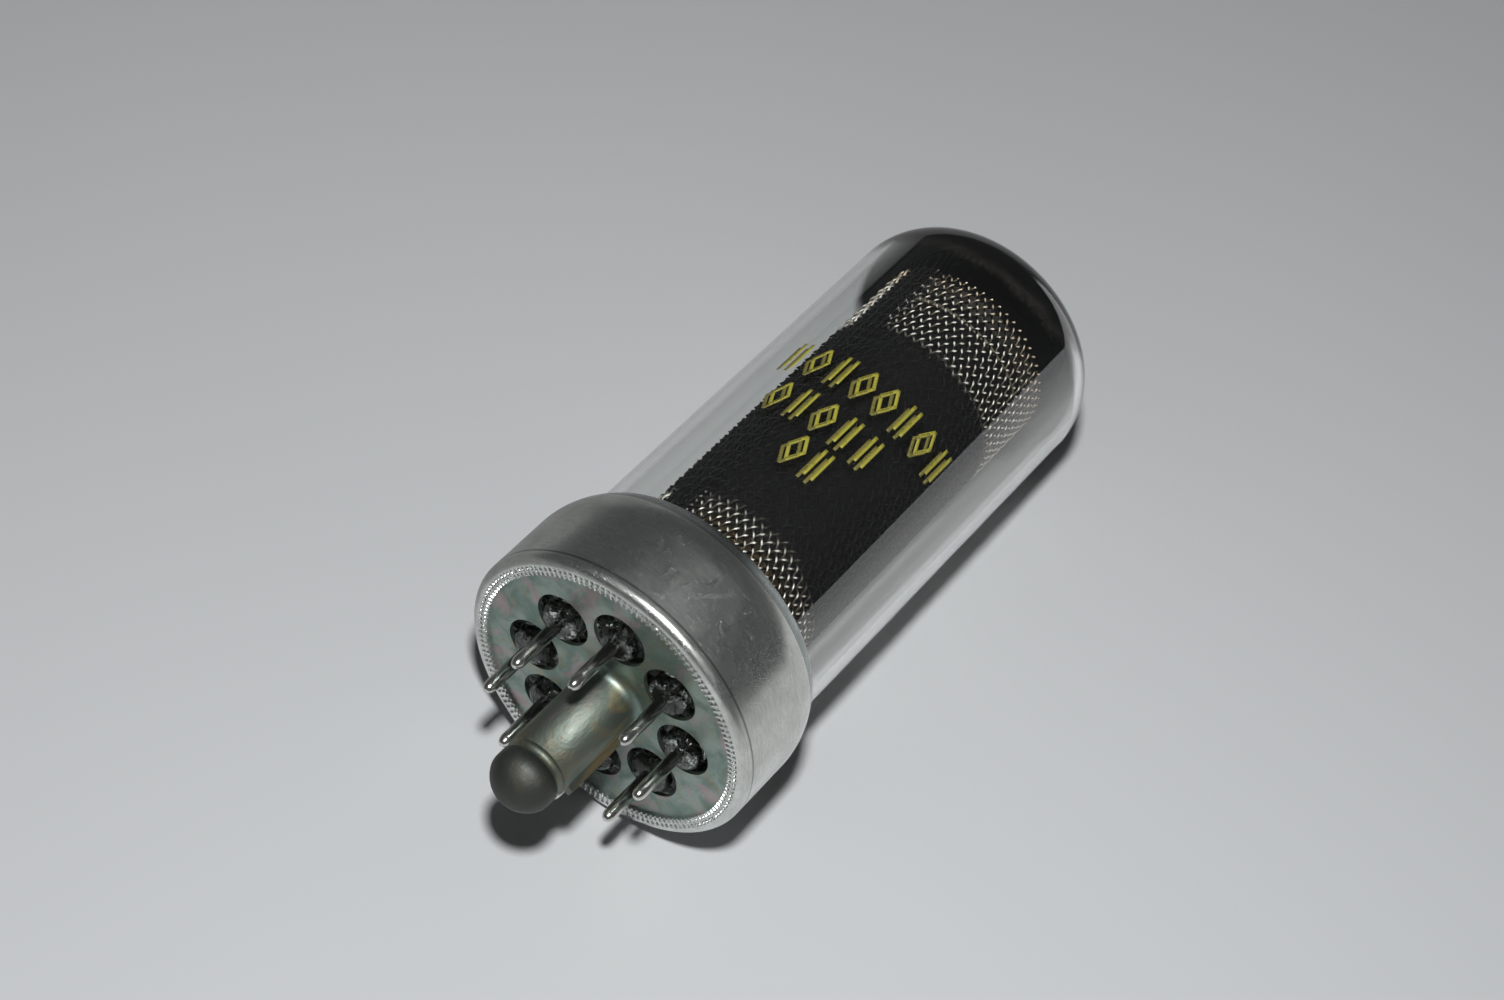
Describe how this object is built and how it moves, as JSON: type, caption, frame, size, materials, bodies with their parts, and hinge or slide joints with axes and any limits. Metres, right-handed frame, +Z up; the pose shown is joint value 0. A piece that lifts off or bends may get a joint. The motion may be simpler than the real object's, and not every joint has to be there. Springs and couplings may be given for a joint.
{
  "type": "pentode tube",
  "caption": "Pentode electron tube with a keyed metal lock base, straight contact pins, a glass bulb with a dark silvered dome and a wire mesh screen round its electrodes.",
  "frame": {"origin": "centre of the underside of the tube's box, on the surface that it lies on", "axes": "+X along the tube from its pins to its dome, as it lies; +Z up; the tube's own axis dips 2.33 degrees towards the dome"},
  "size_m": [0.0816, 0.032, 0.0323],
  "materials": {
    "ring_aluminium": "satin, scuffed and finely scratched",
    "plate_steel": "passivated, with faint green, pink and brown tints",
    "base_glass": "dark pressed glass, glossy",
    "bulb_glass": "clear blown glass",
    "mesh_wire": "blackened, bright towards both ends",
    "nickel": "plain nickel",
    "mica": "split mica, pearly",
    "anode_sheet": "carbon black, matt",
    "grid_wire": "drawn wire",
    "gold_wire": "gold plated wire",
    "cathode_coat": "white oxide coat, matt",
    "heater_coat": "white sintered coat, matt",
    "getter_metal": "fired getter metal, dull",
    "pin_metal": "grey nickel alloy, worn bright at the tips"
  },
  "bodies": {
    "root": {"base_ring": "ring_aluminium", "base_plate": "plate_steel", "glass_base": "base_glass", "glass_bulb": "bulb_glass", "screen_mesh": "mesh_wire", "bottom_shield": "nickel", "top_shield": "nickel", "bottom_mica": "mica", "top_mica": "mica", "anode": "anode_sheet", "support_rods": "nickel", "suppressor_grid": "grid_wire", "screen_grid": "grid_wire", "control_grid": "gold_wire", "cathode": "cathode_coat", "heater": "heater_coat", "getter_ring": "getter_metal", "getter_support": "nickel", "pin_1": "pin_metal", "lead_1": "nickel", "pin_2": "pin_metal", "lead_2": "nickel", "pin_3": "pin_metal", "lead_3": "nickel", "pin_4": "pin_metal", "lead_4": "nickel", "pin_5": "pin_metal", "lead_5": "nickel", "pin_6": "pin_metal", "lead_6": "nickel", "pin_7": "pin_metal", "lead_7": "nickel", "pin_8": "pin_metal", "lead_8": "nickel"}
  },
  "joints": []
}
